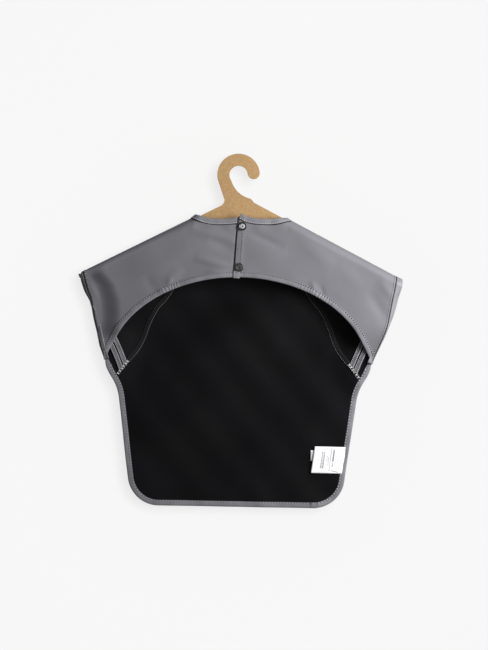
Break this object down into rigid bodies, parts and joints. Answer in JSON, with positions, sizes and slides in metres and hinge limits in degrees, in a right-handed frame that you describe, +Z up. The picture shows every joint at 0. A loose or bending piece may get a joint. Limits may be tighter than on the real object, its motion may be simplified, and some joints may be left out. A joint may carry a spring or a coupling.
{
  "type": "smock bib",
  "caption": "Short-sleeved smock bib in coated fabric: open back with snap placket, bound edges and care label, hanging on a card hanger.",
  "frame": {"origin": "centre of the hanger's hook, where the rail or peg sits", "axes": "+Z up, +Y from the bib's open back to its front panel, +X to the right as seen from the back"},
  "size_m": [0.4068, 0.0242, 0.4424],
  "materials": {
    "coated_cloth": "matt polyurethane coat outside, black knit inside",
    "hem_cloth": "matt coated, stitched",
    "binding_cloth": "matt coated, folded",
    "knit_tape": "matt knit",
    "white_thread": "matt thread",
    "grey_thread": "matt thread",
    "snap_plastic": "satin moulded",
    "label_ribbon": "satin ribbon, printed",
    "kraft_card": "matt kraft fibreboard"
  },
  "bodies": {
    "hanger": {"card_hanger": "kraft_card"},
    "bib": {"front_panel_upper": "coated_cloth", "left_sleeve_panel": "coated_cloth", "right_sleeve_panel": "coated_cloth", "neck_binding_front": "binding_cloth", "left_back_binding": "binding_cloth", "right_back_binding": "binding_cloth", "left_cuff_hem": "hem_cloth", "right_cuff_hem": "hem_cloth", "left_side_binding": "binding_cloth", "right_side_binding": "binding_cloth", "left_raglan_seam": "knit_tape", "right_raglan_seam": "knit_tape", "left_underarm_strips": "hem_cloth", "right_underarm_strips": "hem_cloth", "left_underarm_overlock": "white_thread", "right_underarm_overlock": "white_thread"},
    "skirt": {"front_panel_lower": "coated_cloth", "hem_binding": "binding_cloth"},
    "right_flap": {"right_back_half": "coated_cloth", "right_placket_facing": "hem_cloth", "right_neck_binding": "binding_cloth", "right_half_binding": "binding_cloth", "snap_caps": "snap_plastic", "snap_sockets": "snap_plastic", "placket_stitches": "grey_thread"},
    "left_flap": {"left_back_half": "coated_cloth", "left_placket_facing": "hem_cloth", "left_neck_binding": "binding_cloth", "left_half_binding": "binding_cloth", "snap_studs": "snap_plastic", "snap_back_caps": "snap_plastic"},
    "label": {"care_label": "label_ribbon", "care_label_fold": "label_ribbon", "size_tab": "label_ribbon"}
  },
  "joints": [
    {"name": "bib_lift", "type": "slide", "parent": "hanger", "child": "bib", "axis": [0, 0, 1], "range_m": [0, 0.45]},
    {"name": "right_half_open", "type": "hinge", "parent": "bib", "child": "right_flap", "pos_m": [0.0636, -0.0118, -0.0965], "axis": [0, 0, 1], "range_deg": [0, 150]},
    {"name": "left_half_open", "type": "hinge", "parent": "bib", "child": "left_flap", "pos_m": [-0.0564, -0.0118, -0.0965], "axis": [0, 0, -1], "range_deg": [0, 75]},
    {"name": "skirt_swing", "type": "hinge", "parent": "bib", "child": "skirt", "pos_m": [0.0036, 0.0105, -0.2885], "axis": [1, 0, 0], "range_deg": [-60, 90]},
    {"name": "label_flip", "type": "hinge", "parent": "skirt", "child": "label", "pos_m": [0.1377, 0.00885, -0.338], "axis": [0.1312, 0, 0.9914], "range_deg": [0, 150], "stiffness_Nm_per_rad": 0.0006}
  ],
  "couplings": [
    {"joint": "left_half_open", "follows": "right_half_open", "ratio": 0.5}
  ]
}
